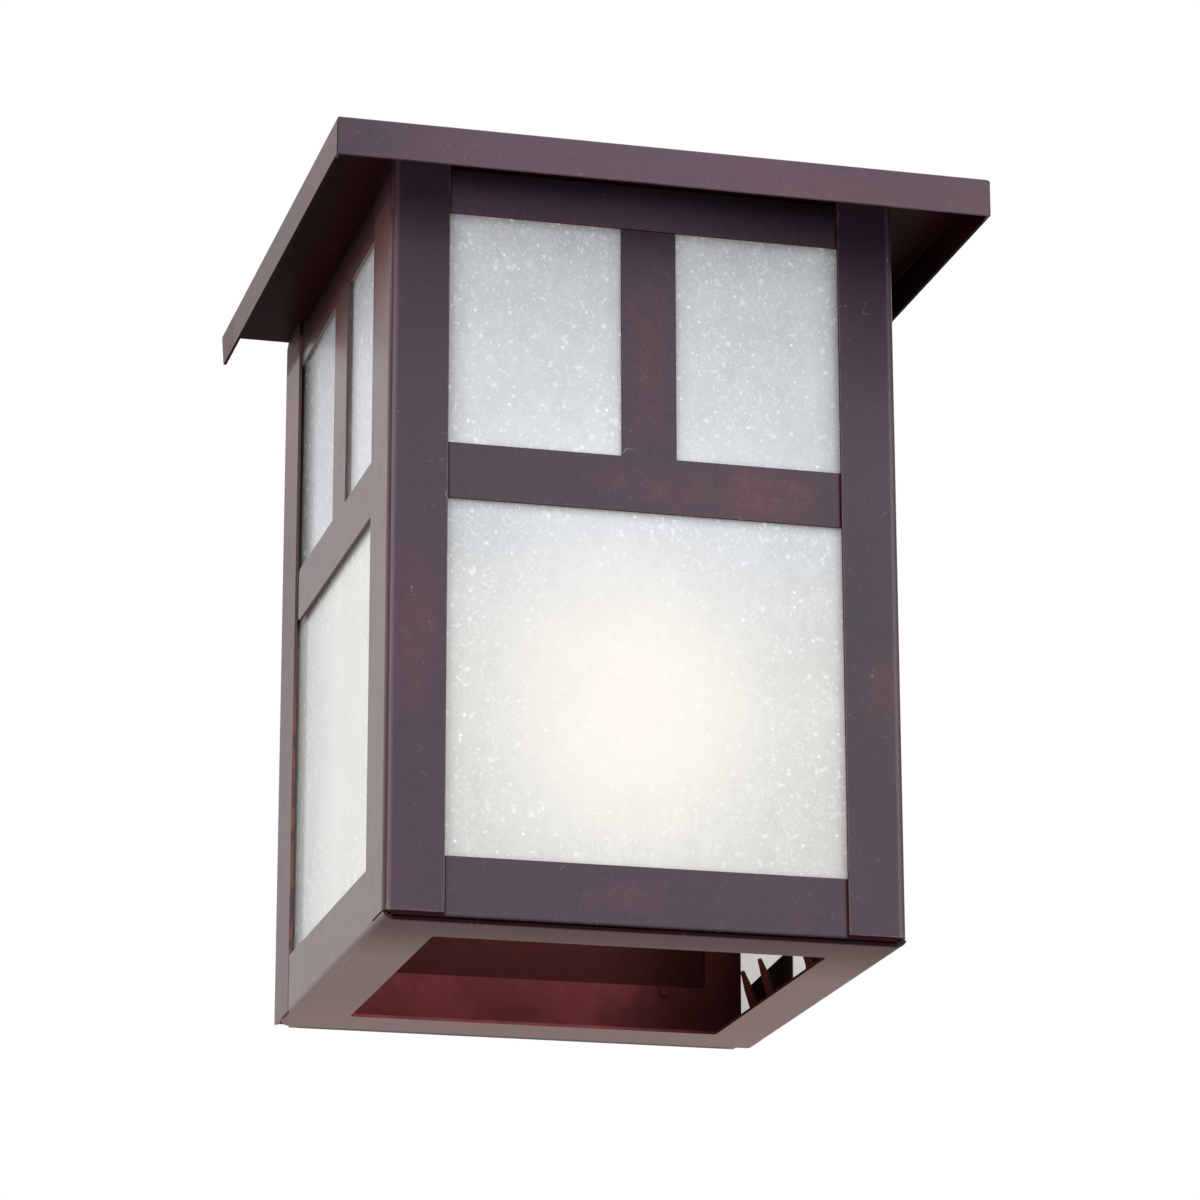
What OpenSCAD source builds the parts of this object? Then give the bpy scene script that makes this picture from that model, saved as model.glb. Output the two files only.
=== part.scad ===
// Mission style outdoor wall lantern: a bent sheet cage with seeded glass, an open bottom for
// changing the lamp, and a flat back plate that screws to a junction box through a mounting bar.
// Millimetres. The modules use bench coordinates: X across, Y from the front face back to the
// wall, Z up from the underside of the tray. placed() then moves the origin to the wall face at
// the centre of the junction box.

/* [Body] */
// Width over the side faces
body_w = 163.6; // [150:0.2:180]
// Front face to wall face
body_d = 177; // [160:1:195]
// Underside of the tray to the top of the roof
body_h = 243; // [225:1:260]
// Thickness of every bent sheet
sheet = 1; // [0.8:0.1:1.2]
// Outer radius of the corner bends
bend_r = 2.8; // [1.5:0.1:3]
// Inner radius of the tight bends
tight_r = 0.4; // [0.3:0.1:0.6]
// Height of the junction box centre above the tray
mount_h = 120; // [105:1:135]

/* [Roof] */
// Width of the roof
roof_w = 210; // [195:1:230]
// Outer radius of the roof's bends
roof_bend_r = 1.4; // [1.2:0.1:3]
// Overhang in front of the body
roof_front = 28.5; // [20:1:36]
// Gap between the rear edge of the roof and the wall
roof_wall_gap = 4.5; // [3:0.5:10]
// Height of the turned down edge
fascia_h = 12.4; // [9:0.5:16]
// How far the rear end of each side edge leans forward at its foot
fascia_rake = 4; // [1:0.5:5]
// Width of the open seam at the front corners
corner_seam = 0.3; // [0.2:0.1:0.5]

/* [Cage] */
// Width of a front post's face
post_face = 18.6; // [16:0.5:22]
// Width of a front post on the side
post_side = 26.5; // [23:0.5:30]
// Front posts stop this far above the underside
post_lift = 2.8; // [2:0.2:4]
// Length of the open slit under the post on the side
post_slit = 16; // [12:0.5:21]
// Height of the slit under the posts and the rear stiles
foot_slit = 0.6; // [0.4:0.1:1]
// Height of the bottom rails
bottom_rail_h = 20.4; // [16:0.2:24]
// Lower edge of the cross bars
transom_z = 133.2; // [120:0.2:145]
// Height of the cross bars
transom_h = 17.8; // [14:0.2:21]
// Drop of the top rails below the roof sheet
top_rail_h = 15.4; // [13:0.2:20]
// Width of the front centre bar
front_mullion_w = 17.6; // [14:0.2:20]
// How far the front centre bar sits to the right of the middle
front_mullion_x = 1.1; // [0:0.1:2]
// Width of the side centre bars
side_mullion_w = 20; // [15:0.5:22]
// Centre of the side centre bars, from the front face
side_mullion_y = 78; // [70:0.1:88]
// Gap between the free end of a side cross bar and the rear stile
bar_end_gap = 6.5; // [1:0.5:8]
// Radius at the corners of that free end
bar_end_r = 2; // [1:0.5:4]
// Gap at the upper end of a centre bar
mullion_gap = 0.4; // [0.3:0.1:0.8]
// Inward lip that fixes a top rail to the roof
rail_lip = 9; // [7:0.5:12]
// Inward foot of the front bottom rail
rail_foot = 12; // [10:0.5:14]
// Length of the tongue that reaches behind the rear stile
tongue_l = 5; // [3:0.5:8]
// How much narrower the tongue is than its cross bar at each edge
tongue_inset = 3; // [2:0.5:5]

/* [Tray] */
// Side border of the bottom opening
tray_side = 19.6; // [18:0.1:24]
// Front border of the bottom opening
tray_front = 21; // [18:0.1:26]
// Rear edge of the bottom opening to the wall
tray_rear = 32; // [28:1:44]
// Gap between the rear edge of the tray and the wall
tray_wall_gap = 12; // [8:0.5:20]
// Radius of the soft bends along the sides
tray_bend_r = 3; // [2:0.2:4]
// Radius at the corners of the bottom opening
tray_corner_r = 1.5; // [1:0.5:3]
// How far the tray's front edge lies behind the front face
tray_edge = 0.8; // [0.5:0.1:1]

/* [Back] */
// Depth of the rear stiles
stile_d = 26; // [21:0.5:28]
// Slit between a bottom rail and the rear stile
stile_slit = 1; // [0.6:0.1:1.6]
// Length of the sloped cut at the stiles' top rear corner
stile_cut = 4.5; // [3:0.5:7]
// Width of the rear frame at the sides
web_side = 14.5; // [13:0.5:20]
// Height of the rear frame at the bottom
web_bottom = 22; // [20:0.5:28]
// Height of the rear frame at the top
web_top = 25; // [22:0.5:28]
// Radius at the rear frame's inner corners
web_corner_r = 2; // [1:0.5:4]
// Radius at the back plate's corners
plate_corner_r = 3; // [1:0.5:5]
// Inner radius of the back pan's bends
pan_inner_r = 0.8; // [0.6:0.1:1.2]
// Rear stiles stop this far above the underside
stile_lift = 2; // [1.8:0.1:2.8]
// Gap between the ends of the pan's bottom lip and the side faces
lip_side_gap = 5; // [4.5:0.5:8]
// How far the back plate laps over the rear frame
plate_lap = 9; // [8:0.5:11]
// Wire hole in the back plate
wire_hole_d = 16; // [12:1:22]
// Spacing of the two mounting screws
stud_spacing = 57.2; // [50:0.1:64]
// Diameter of the mounting screws
stud_d = 4.2; // [3.8:0.1:4.8]
// Distance of the back plate's screws from the side faces
plate_screw_side = 29; // [22:1:40]
// Distance of the back plate's screws from the rear frame's inner edge
plate_screw_in = 2; // [1.9:0.1:4]
// Radius of the back plate's screws
screw_r = 1.2; // [1:0.1:1.8]
// Radius of their heads
screw_head_r = 1.9; // [1.7:0.1:3.4]
// Height of their heads
screw_head_h = 1.4; // [1.2:0.1:2.6]
// Radius of the bracket's rivets
rivet_r = 1.6; // [1.4:0.1:2]
// Width of a cap nut over its corners
cap_nut_d = 10; // [9:0.5:12]
// Height of a cap nut's hexagon
cap_nut_h = 5; // [4:0.5:7]

/* [Glass] */
// Thickness of the glass
glass_t = 2.5; // [2:0.1:3.4]
// Clearance round the glass
glass_gap = 0.1; // [0.1:0.05:0.2]
// Gap between the glass and the sheet above it
glass_top_gap = 1.4; // [1:0.1:3]
// Rear edge of the side glass to the wall
glass_rear_gap = 11.5; // [4:0.5:14]

/* [Glass clips] */
// Length of a side clip
clip_len = 48; // [42:1:54]
// Gap between a rear clip and the back pan's bottom lip
clip_rear_gap = 0.5; // [0.3:0.1:3]
// Distance from the rear clip of a side to the front one
clip_pitch = 64.5; // [60:0.5:70]
// Thickness of a clip
clip_t = 0.8; // [0.6:0.1:1]
// Gap between a clip and the glass
clip_gap = 0.3; // [0.2:0.05:0.4]
// Width of a side clip's foot
clip_foot = 12; // [9:0.5:13]
// Height of a clip
clip_leaf = 20.5; // [16:0.5:22]
// How much lower a side clip's leaf is at its rear end
leaf_fall = 3; // [1:0.5:5]
// Middle of the two spring fingers from the front end of a side clip
clip_finger_1 = 10; // [8:0.5:16]
// The same for the rear finger
clip_finger_2 = 30; // [24:0.5:36]
// Width of a finger at its root
finger_w = 9; // [7:0.5:10]
// Width of the fingers near the tip
finger_neck_w = 6.4; // [4:0.2:7]
// Length of the tapered tip
finger_tip_l = 5; // [4:0.5:8]
// Length of a finger
finger_l = 18.5; // [14:0.5:20]
// Radius of a finger's tip
finger_tip_r = 1.4; // [0.8:0.1:1.8]
// Inward lean of a finger in degrees
finger_lean = 19; // [12:1:24]
// Length of a front clip
front_clip_len = 20; // [14:1:26]
// Middle of a front clip to the middle of the lantern
front_clip_x = 40; // [30:1:50]

/* [Lamp] */
// Lamp axis behind the front face
lamp_y = 80; // [70:1:88]
// Roof sheet down to the lamp's end contact
lamp_drop = 78; // [72:1:82]
// Radius of the lamp cap over its thread
cap_r = 13.02; // [13:0.01:13.05]
// Length of the lamp cap's shell
cap_l = 20.1; // [18:0.1:22]
// Thickness of the lamp cap's shell
cap_t = 0.4; // [0.3:0.05:0.6]
// Height of the insulator between the cap and the end contact
insulator_h = 3.6; // [3:0.1:4.5]
// Height of the end contact
eyelet_h = 1.8; // [1.4:0.1:2.4]
// Radius of the end contact
eyelet_r = 4.8; // [4:0.1:5.4]
// Largest radius of the lamp bulb
bulb_r = 30; // [26:0.5:32]
// End contact to the middle of the bulb
bulb_centre = 79; // [74:0.5:84]
// Wall of the bulb
bulb_t = 1; // [0.8:0.1:1.4]
// How far the bulb's neck reaches into the cap
neck_in = 14; // [10:0.5:16]

/* [Lampholder] */
// Radial clearance between the cap and the screw shell
cap_gap = 0.1; // [0.08:0.01:0.1]
// Clearance above the end contact
contact_gap = 0.15; // [0.1:0.05:0.3]
// Outer radius of the lampholder
holder_r = 19.5; // [18:0.5:22]
// End contact up to the top of the lampholder
holder_rise = 13; // [12:0.5:16]
// Height of the lampholder's tapered shoulder
shoulder_h = 12; // [8:0.5:14]
// How far the shoulder tapers in
shoulder_in = 4; // [2:0.5:6]
// Wall of the screw shell
shell_t = 0.5; // [0.4:0.05:0.7]
// Outer radius of the threaded nipple
nipple_r = 4.9; // [4.5:0.1:5.2]
// Wall of the nipple
nipple_wall = 1.4; // [1:0.1:1.8]
// Length of the nipple
nipple_l = 16; // [14:0.5:20]
// Radius of the nipple's nut over its corners
nut_r = 8; // [7:0.5:9]
// Height of the nipple's nut
nut_h = 3.5; // [3:0.5:5]

/* [Bracket and leads] */
// Width of the bracket
bracket_w = 26; // [22:1:30]
// Thickness of the bracket
bracket_t = 1.5; // [1.2:0.1:2]
// Height of the bracket's leg on the back plate
bracket_leg = 34; // [31:0.5:35]
// Lower rivet above the lampholder
rivet_1 = 12; // [10:0.5:15]
// Upper rivet above the lampholder
rivet_2 = 24; // [21:0.5:26]
// Radius of a lead
lead_r = 1.1; // [0.9:0.1:1.3]
// Middle of a lead to the middle of the lampholder
lead_x = 5; // [4:0.5:6]
// Leads below the top of the lampholder
lead_drop = 7; // [6:0.5:8]
// Length of the leads behind the wall face
lead_tail = 14; // [10:1:20]

/* [Mounting bar] */
// Length of the bar
bar_len = 104; // [98:1:110]
// Width of the bar
bar_w = 22; // [19:1:26]
// Thickness of the bar
bar_t = 1.8; // [1.5:0.1:2.2]
// Room for the box screws' heads between the bar and the back plate
bar_gap = 3; // [2.6:0.1:5]
// Middle spacing of the slots for the junction box screws
box_spacing = 84; // [82:0.5:88]
// Length of a slot
slot_len = 13; // [10:0.5:14]
// Width of a slot
slot_w = 4.8; // [4.4:0.1:5.2]
// Radius of the bar's middle hole
bar_hole_r = 6.5; // [5:0.5:7.5]
// Middle of the ground screw to the middle of the bar
ground_x = 17; // [15:0.5:18]
// Radius of the ground screw
ground_r = 1.9; // [1.7:0.1:2.2]
// Radius of the mounting screws' heads
stud_head_r = 3.6; // [3.2:0.1:4]
// Height of the mounting screws' heads
stud_head_h = 2.4; // [2:0.1:3]

/* [Hidden] */
$fn = 48;

bronze = [0.34, 0.29, 0.31];
bronze_inside = [0.30, 0.12, 0.12];
glass_white = [0.93, 0.94, 0.93, 0.85];
brass = [0.78, 0.62, 0.30];
zinc = [0.72, 0.73, 0.75];
porcelain = [0.93, 0.92, 0.88];

half_w = body_w / 2;
// Extra length of a cutting shape
cut = 1;
// Contact clearance between sheets, and the width of a visible seam
touch = 0.05;
seam = 0.3;
// Clearance round screws, rivets and the nipple
fit_gap = 0.1;
roof_under = body_h - sheet;
top_rail_z = roof_under - top_rail_h;
pan_front = body_d - stile_d;
plate_y = body_d - sheet;
web_y = plate_y - sheet;
rail_in = half_w - sheet;
rail_bend_r = sheet + tight_r;
pan_bend_r = sheet + pan_inner_r;
// The front strips end where the corner bend's inner face turns flat
strip_half = half_w - bend_r;
// The tray's rear border and the pan's bottom lip above it
tray_open_y = body_d - tray_rear;
tray_end = body_d - tray_wall_gap;
pan_floor = sheet + seam;
lip_front = pan_front + 1.5 * sheet;
web_top_z = roof_under - web_top;
// The glass lies one layer of sheet behind the rails and stands on their feet
glass_out = 2 * sheet + glass_gap;
glass_in = glass_out + glass_t;
glass_z = pan_floor + sheet + seam;
glass_top = roof_under - sheet - glass_top_gap;
glass_rear = body_d - glass_rear_gap;
clip_fingers = [clip_finger_1, clip_finger_2];
clip_y = lip_front - clip_rear_gap - clip_len;
// Lamp
lamp_z = roof_under - lamp_drop;
insulator_top = lamp_z - eyelet_h;
cap_top = insulator_top - insulator_h;
cap_foot = cap_top - cap_l;
cap_shoulder_r = 1.4;
cap_rim = 0.5;
cap_rim_h = 1.5;
insulator_r = eyelet_r + 1.4;
eyelet_edge = 0.7;
bulb_z = lamp_z - bulb_centre;
neck_r = cap_r - cap_t - 0.1;
// Angle above the bulb's middle where the ball runs over into the neck
bulb_join = 37.5;
// Lampholder
shell_in = cap_r + cap_gap;
shell_out = shell_in + shell_t;
shell_lip = 1;
shell_room = 0.7;
shell_mouth = cap_foot + cap_rim_h + 2;
shell_top = cap_top + 1.4;
holder_mouth = shell_mouth - 1;
holder_floor = lamp_z + 3;
holder_top = lamp_z + holder_rise;
holder_shoulder = holder_top - shoulder_h;
holder_edge_r = 1;
contact_r = 5;
contact_t = 0.8;
contact_stem_r = 2;
nipple_z = holder_floor + 5;
bracket_bend_r = bracket_t + 1.5;
rivet_z = [holder_top + rivet_1, holder_top + rivet_2];
// Leads: a blind hole in the lampholder, and points that the sheath follows down to the wire hole
lead_z = holder_top - lead_drop;
lead_hole_y = lamp_y + 12;
lead_hole_gap = 0.15;
lead_end_x = 3.5;
lead_round = 0.45;
lead_route = [
    [lead_x, lead_hole_y + 0.5, lead_z], [lead_x, lamp_y + 30, lead_z],
    [lead_x, lamp_y + 70, lead_z - 14], [lead_end_x, plate_y - 14, mount_h],
    [lead_end_x, body_d + lead_tail, mount_h]];
// Mounting bar
bar_y = body_d + bar_gap;
bar_back = bar_y + bar_t;
bar_corner_r = 3;
ground_head_r = 4.2;
ground_head_h = 2.6;
stud_room = 0.3;
nut_dome_r = 0.4 * cap_nut_d;

// Moves bench coordinates to the frame of the part
module placed() { translate([0, -body_d, -mount_h]) children(); }

// Extrudes a shape drawn in X and Z along Y
module along_y(from, to) {
    translate([0, to, 0]) rotate([90, 0, 0]) linear_extrude(to - from) children();
}

// Extrudes a shape drawn in Y and Z along X
module along_x(from, to) {
    translate([from, 0, 0]) rotate([90, 0, 90]) linear_extrude(to - from) children();
}

// Bent sheet angle: outer corner at the origin, legs along +X and +Y
module sheet_angle(leg_x, leg_y, r, t = sheet) {
    translate([r, 0]) square([leg_x - r, t]);
    translate([0, r]) square([t, leg_y - r]);
    difference() {
        intersection() {
            translate([r, r]) circle(r);
            square(r);
        }
        translate([r, r]) circle(r - t);
    }
}

// Rectangle given by its limits
module span2(x0, x1, y0, y1) { translate([x0, y0]) square([x1 - x0, y1 - y0]); }

// Box given by its limits
module span3(x, y, z) {
    translate([x[0], y[0], z[0]]) cube([x[1] - x[0], y[1] - y[0], z[1] - z[0]]);
}

// Rectangle with rounded corners, made of bars and circles
module rounded_span(x0, x1, y0, y1, r) {
    span2(x0 + r, x1 - r, y0, y1);
    span2(x0, x1, y0 + r, y1 - r);
    for (x = [x0 + r, x1 - r], y = [y0 + r, y1 - r]) translate([x, y]) circle(r);
}

// Round piece along Y
module rod_y(r, y0, y1) { translate([0, y0, 0]) rotate([-90, 0, 0]) cylinder(r = r, h = y1 - y0); }

module mirror_pair() {
    children();
    mirror([1, 0, 0]) children();
}

// Roof: a tray with turned down edges at the front and sides, open at the back
module roof_block(inset) {
    r = roof_bend_r - inset;
    x = roof_w / 2 - inset;
    y0 = inset - roof_front;
    z1 = body_h - inset;
    z0 = body_h - fascia_h - (inset > 0 ? cut : 0);
    y1 = body_d - roof_wall_gap + (inset > 0 ? cut : 0);
    intersection() {
        along_y(y0, y1) {
            span2(-x, x, z0, z1 - r);
            span2(-x + r, x - r, z1 - r, z1);
            for (s = [-1, 1]) translate([s * (x - r), z1 - r]) circle(r);
        }
        along_x(-x, x) {
            span2(y0, y1, z0, z1 - r);
            span2(y0 + r, y1, z1 - r, z1);
            translate([y0 + r, z1 - r]) circle(r);
        }
    }
}

module roof() {
    // The seams and the rakes stop in the flat of the edge, just below its bend
    edge_top = body_h - roof_bend_r - 2 * seam;
    edge_foot = body_h - fascia_h - cut;
    rear = body_d - roof_wall_gap;
    color(bronze) placed() difference() {
        roof_block(0);
        roof_block(sheet);
        for (s = [-1, 1]) translate([s * roof_w / 2, -roof_front, edge_foot])
            rotate([0, 0, s * 45]) translate([-corner_seam / 2, -roof_bend_r, 0])
                cube([corner_seam, 3 * roof_bend_r, edge_top - edge_foot]);
        along_x(-roof_w, roof_w) polygon([
            [rear, edge_top], [rear - fascia_rake, edge_foot],
            [body_d, edge_foot], [body_d, edge_top]]);
    }
}

// Side frame: post, cross bar and centre bar in one sheet, the post's face bent round the corner
module side_sheet() {
    // Post, cut back at its foot for the tray's side rail
    span2(bend_r, post_slit, post_lift, roof_under);
    span2(bend_r, post_side, bottom_rail_h + touch, roof_under);
    // Cross bar, its free rear end short of the rear stile
    span2(bend_r, side_mullion_y, transom_z, transom_z + transom_h);
    rounded_span(post_side, pan_front - bar_end_gap, transom_z, transom_z + transom_h, bar_end_r);
    // Centre bar
    span2(side_mullion_y - side_mullion_w / 2, side_mullion_y + side_mullion_w / 2,
          transom_z, top_rail_z - mullion_gap);
}

module side_frame() {
    step_y = pan_front - bar_end_gap - bar_end_r - 2 * sheet;
    tongue_x = -half_w + glass_out - touch;
    tongue_z = [transom_z + tongue_inset, transom_z + transom_h - tongue_inset];
    along_x(-half_w, -rail_in) side_sheet();
    translate([-half_w, 0, post_lift]) linear_extrude(roof_under - post_lift) difference() {
        sheet_angle(post_face, 2 * bend_r, bend_r);
        translate([0, bend_r]) square(2 * bend_r);
    }
    // Stepped tongue that reaches behind the rear stile
    span3([-half_w, tongue_x], [step_y, step_y + 2 * sheet], tongue_z);
    span3([-rail_in + touch, tongue_x], [step_y, pan_front + tongue_l], tongue_z);
}

module left_side_frame() { color(bronze) placed() side_frame(); }
module right_side_frame() { color(bronze) placed() mirror([1, 0, 0]) side_frame(); }

// Tray: bottom plate with a large opening, its sides bent up softly as the bottom side rails
module tray_plate() {
    difference() {
        span2(-half_w + tray_bend_r, half_w - tray_bend_r, tray_edge, tray_end);
        rounded_span(-half_w + tray_side, half_w - tray_side, tray_front, tray_open_y,
                     tray_corner_r);
    }
}

module bottom_tray() {
    color(bronze) placed() {
        linear_extrude(sheet) tray_plate();
        // Side rails; below the post and the stile only the bend's foot is left, under a slit
        mirror_pair() difference() {
            along_y(tray_edge, tray_end) translate([-half_w, 0])
                sheet_angle(tray_bend_r + cut, bottom_rail_h, tray_bend_r);
            span3([-half_w - cut, -half_w + tray_bend_r], [tray_edge - cut, post_slit + touch],
                  [post_lift - foot_slit, bottom_rail_h + cut]);
            span3([-half_w - cut, -half_w + tray_bend_r], [pan_front - stile_slit, tray_end + cut],
                  [stile_lift - foot_slit, bottom_rail_h + cut]);
        }
    }
}

// The front rail stands on the tray plate just behind its edge
module front_bottom_rail() {
    color(bronze) placed() along_x(-strip_half, strip_half) translate([sheet, pan_floor])
        sheet_angle(rail_foot, bottom_rail_h - pan_floor, rail_bend_r);
}

module front_transom() {
    color(bronze) placed()
        span3([-strip_half, strip_half], [sheet, 2 * sheet], [transom_z, transom_z + transom_h]);
}

module front_mullion() {
    color(bronze) placed()
        span3([front_mullion_x - front_mullion_w / 2, front_mullion_x + front_mullion_w / 2],
              [sheet, 2 * sheet], [transom_z + transom_h, top_rail_z - mullion_gap]);
}

// Top rail section: its face lies one sheet in, its lip is fixed under the roof
module top_rail_section() {
    translate([sheet, roof_under]) mirror([0, 1]) sheet_angle(rail_lip, top_rail_h, rail_bend_r);
}

module side_top_rail() {
    along_y(2 * sheet + rail_lip, plate_y - pan_bend_r) translate([-half_w, 0]) top_rail_section();
    // The face alone runs on to the corner, below the lip of the front rail
    span3([-rail_in, -rail_in + sheet], [max(bend_r, 2 * sheet) + touch, 2 * sheet + rail_lip],
          [top_rail_z, roof_under - rail_bend_r]);
}

module front_top_rail() {
    color(bronze) placed() along_x(-strip_half, strip_half) top_rail_section();
}
module left_top_rail() { color(bronze) placed() side_top_rail(); }
module right_top_rail() { color(bronze) placed() mirror([1, 0, 0]) side_top_rail(); }

// Back pan: the rear stiles, a wide frame against the wall, and lips over the tray and under the roof.
// The stiles' bends stop at the lips, where their flat sides run on alone.
module back_pan() {
    lip_l = plate_y - lip_front;
    lip_half = half_w - lip_side_gap;
    flat_rear = plate_y - pan_bend_r;
    color(bronze) placed() difference() {
        union() {
            // Stiles and frame
            translate([0, 0, glass_z]) linear_extrude(roof_under - 2 * sheet - glass_z)
                mirror_pair() translate([-half_w, plate_y]) mirror([0, 1])
                    sheet_angle(half_w + touch, stile_d - sheet, pan_bend_r);
            mirror_pair() along_x(-half_w, -rail_in) polygon([
                [pan_front, stile_lift], [flat_rear, stile_lift], [flat_rear, roof_under - 2 * sheet],
                [plate_y - stile_cut, roof_under], [pan_front, roof_under]]);
            // Bottom lip, above the tray's rear border
            along_x(-lip_half, lip_half) translate([plate_y, pan_floor])
                mirror([1, 0]) sheet_angle(lip_l, web_bottom, pan_bend_r);
            // Top lip, between the lips of the side top rails
            along_x(-rail_in + rail_lip + seam, rail_in - rail_lip - seam)
                translate([plate_y, roof_under]) mirror([1, 0]) mirror([0, 1])
                    sheet_angle(lip_l, web_top, pan_bend_r);
        }
        along_y(web_y - cut, body_d)
            rounded_span(-half_w + web_side, half_w - web_side, web_bottom, web_top_z, web_corner_r);
        plate_screw_places() rod_y(screw_r + fit_gap, web_y - cut, body_d);
    }
}

module plate_screw_places() {
    screw_x = half_w - plate_screw_side;
    for (x = [-screw_x, screw_x], z = [web_bottom - plate_screw_in, web_top_z + plate_screw_in])
        translate([x, 0, z]) children();
}

module rivet_places() {
    for (z = rivet_z) translate([0, 0, z]) children();
}

module stud_places() {
    for (s = [-1, 1]) translate([s * stud_spacing / 2, 0, mount_h]) children();
}

// Back plate: closes the rear frame and lies flat on the wall
module back_plate() {
    edge = web_side - plate_lap;
    color(bronze_inside) placed() difference() {
        along_y(plate_y, body_d) rounded_span(-half_w + edge, half_w - edge, web_bottom - plate_lap,
                                              web_top_z + plate_lap, plate_corner_r);
        plate_screw_places() rod_y(screw_r + fit_gap, plate_y - cut, body_d + cut);
        rivet_places() rod_y(rivet_r + fit_gap, plate_y - cut, body_d + cut);
        stud_places() rod_y(stud_d / 2 + stud_room, plate_y - cut, body_d + cut);
        translate([0, 0, mount_h]) rod_y(wire_hole_d / 2, plate_y - cut, body_d + cut);
    }
}

// Glass
module front_glass() {
    color(glass_white) placed()
        span3([-half_w + glass_in + glass_gap, half_w - glass_in - glass_gap], [glass_out, glass_in],
              [glass_z, glass_top]);
}

module side_glass() {
    span3([-half_w + glass_out, -half_w + glass_in], [glass_out, glass_rear], [glass_z, glass_top]);
}
module left_glass() { color(glass_white) placed() side_glass(); }
module right_glass() { color(glass_white) placed() mirror([1, 0, 0]) side_glass(); }

// Glass clip: a foot on the tray, a leaf along the glass and pointed spring fingers that lean inward.
// Drawn for a glass whose inner face is the plane x = 0 and with the clip on its +X side.
module finger() {
    span2(-finger_w / 2, finger_w / 2, clip_t / 2, clip_t);
    polygon([[-finger_w / 2, clip_t], [finger_w / 2, clip_t],
             [finger_neck_w / 2, finger_l - finger_tip_l], [finger_tip_r, finger_l],
             [-finger_tip_r, finger_l], [-finger_neck_w / 2, finger_l - finger_tip_l]]);
    translate([0, finger_l]) circle(finger_tip_r);
}

module glass_clip(length, foot, fingers, fall = 0) {
    bend_top = clip_t + 2 * tight_r;
    translate([clip_gap, 0, 0]) {
        along_y(0, length) sheet_angle(foot, bend_top, clip_t + tight_r, clip_t);
        along_x(0, clip_t) polygon([[0, bend_top - touch], [length, bend_top - touch],
                                    [length, clip_leaf - fall], [0, clip_leaf]]);
        for (y = fingers) translate([clip_t + 2 * tight_r, y, 0]) rotate([0, finger_lean, 0])
            along_x(0, clip_t) finger();
    }
}

// Two clips on each side, one behind the other
module left_clip() {
    for (y = [clip_y, clip_y - clip_pitch]) translate([-half_w + glass_in, y, sheet])
        glass_clip(clip_len, clip_foot, clip_fingers, leaf_fall);
}
module left_glass_clip() { color(bronze_inside) placed() left_clip(); }
module right_glass_clip() { color(bronze_inside) placed() mirror([1, 0, 0]) left_clip(); }
module front_glass_clips() {
    foot = sheet + rail_foot - glass_in - clip_gap;
    color(bronze_inside) placed() for (x = [-front_clip_x, front_clip_x])
        translate([x - front_clip_len / 2, glass_in, pan_floor + sheet]) mirror([1, 0, 0])
            rotate([0, 0, 90]) glass_clip(front_clip_len, foot, [front_clip_len / 2]);
}

// Fasteners of the back
module plate_screws() {
    color(bronze_inside) placed() plate_screw_places() {
        rod_y(screw_r, web_y, body_d);
        rod_y(screw_head_r, web_y - screw_head_h / 2, web_y);
        translate([0, web_y - screw_head_h / 2, 0]) rotate([90, 0, 0])
            cylinder(r1 = screw_head_r, r2 = 0.7 * screw_head_r, h = screw_head_h / 2);
    }
}

module bracket_rivets() {
    color(zinc) placed() rivet_places() {
        rod_y(rivet_r, plate_y - bracket_t, body_d);
        translate([0, plate_y - bracket_t, 0]) rotate([90, 0, 0]) rotate_extrude() intersection() {
            translate([0, -rivet_r]) circle(2.2 * rivet_r);
            square(3 * rivet_r);
        }
    }
}

// Lampholder bracket: a strip from the back plate out to the lamp axis
module lamp_bracket() {
    arm_l = plate_y - lamp_y + bracket_w / 2;
    color(zinc) placed() difference() {
        intersection() {
            along_x(-bracket_w / 2, bracket_w / 2) translate([plate_y, holder_top])
                mirror([1, 0]) sheet_angle(arm_l, bracket_leg, bracket_bend_r, bracket_t);
            translate([0, 0, holder_top - cut]) linear_extrude(bracket_leg + 2 * cut) {
                span2(-bracket_w / 2, bracket_w / 2, lamp_y, body_d);
                translate([0, lamp_y]) circle(bracket_w / 2);
            }
        }
        translate([0, lamp_y, holder_top - cut])
            cylinder(r = nipple_r + fit_gap, h = bracket_t + 2 * cut);
        rivet_places() rod_y(rivet_r + fit_gap, plate_y - bracket_t - cut, body_d);
    }
}

module on_lamp_axis() { placed() translate([0, lamp_y, 0]) children(); }

module holder_nipple() {
    color(brass) on_lamp_axis() translate([0, 0, nipple_z]) difference() {
        cylinder(r = nipple_r, h = nipple_l);
        translate([0, 0, -cut]) cylinder(r = nipple_r - nipple_wall, h = nipple_l + 2 * cut);
    }
}

module nipple_nut() {
    color(brass) on_lamp_axis() translate([0, 0, holder_top + bracket_t]) difference() {
        cylinder(r = nut_r, h = nut_h, $fn = 6);
        translate([0, 0, -cut]) cylinder(r = nipple_r + fit_gap, h = nut_h + 2 * cut);
    }
}

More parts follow.
